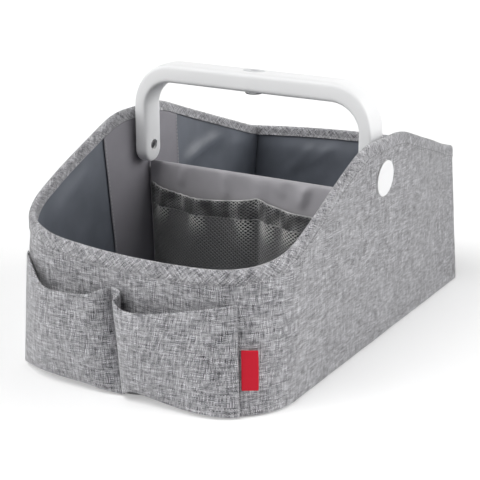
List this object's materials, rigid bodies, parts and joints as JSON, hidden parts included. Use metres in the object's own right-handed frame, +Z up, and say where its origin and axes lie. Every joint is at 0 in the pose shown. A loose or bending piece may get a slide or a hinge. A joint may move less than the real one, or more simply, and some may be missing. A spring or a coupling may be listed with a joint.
{
  "type": "diaper caddy",
  "caption": "Open fabric storage caddy with board-stiffened walls, bellied front pockets, a shifting divider with mesh pockets, and a swinging carry handle that holds a touch light.",
  "frame": {"origin": "middle of the overall box, on the floor that the caddy stands on", "axes": "+Z up, -Y towards the front with the pockets, +X to the right seen from the front"},
  "size_m": [0.257, 0.4136, 0.2289],
  "materials": {
    "heather_cloth": "heathered woven polyester",
    "lining_cloth": "coated lining with a low sheen",
    "panel_cloth": "plain coated fabric",
    "mesh_cloth": "knitted diamond mesh",
    "red_cloth": "satin woven tape",
    "stiff_board": "sheet",
    "white_plastic": "satin moulded",
    "pale_plastic": "satin moulded",
    "clear_plastic": "polished",
    "chrome": "plated",
    "steel": "zinc plated",
    "circuit": "solder mask",
    "dark_plastic": "moulded"
  },
  "bodies": {
    "body": {"outer_wrap": "heather_cloth", "back_panel": "heather_cloth", "base_panel": "heather_cloth", "rim_binding": "heather_cloth", "back_binding": "heather_cloth", "left_board": "stiff_board", "front_board": "stiff_board", "right_board": "stiff_board", "back_board": "stiff_board", "base_board": "stiff_board", "wrap_lining": "lining_cloth", "back_lining": "lining_cloth", "base_lining": "lining_cloth", "left_side_panel": "panel_cloth", "right_side_panel": "panel_cloth", "left_pocket": "heather_cloth", "right_pocket": "heather_cloth", "red_tab": "red_cloth", "left_pivot_cap": "white_plastic", "left_pivot_washer": "pale_plastic", "left_pivot_screw": "steel", "right_pivot_cap": "white_plastic", "right_pivot_washer": "pale_plastic", "right_pivot_screw": "steel"},
    "divider": {"divider_cover": "panel_cloth", "divider_board": "stiff_board", "left_hook_strip": "panel_cloth", "right_hook_strip": "panel_cloth", "mesh_pocket": "mesh_cloth", "mesh_hem": "mesh_cloth"},
    "handle": {"handle_frame": "white_plastic", "light_plate": "white_plastic", "left_plate_screw": "steel", "right_plate_screw": "steel", "light_lens": "clear_plastic", "lens_ring": "chrome", "led": "clear_plastic", "circuit_board": "circuit", "touch_switch": "dark_plastic", "inner_contact": "steel", "outer_contact": "steel", "button_cell_1": "steel", "button_cell_2": "steel", "button_cell_3": "steel"},
    "button": {"touch_button": "pale_plastic"}
  },
  "joints": [
    {"name": "handle_swing", "type": "hinge", "parent": "body", "child": "handle", "pos_m": [0, 0.0057, 0.15], "axis": [1, 0, 0], "range_deg": [-90, 90]},
    {"name": "divider_shift", "type": "slide", "parent": "body", "child": "divider", "axis": [0, 1, 0], "range_m": [-0.06, 0.03]},
    {"name": "button_press", "type": "slide", "parent": "handle", "child": "button", "axis": [0, 0, -1], "range_m": [0, 0.001], "stiffness_N_per_m": 1500}
  ]
}
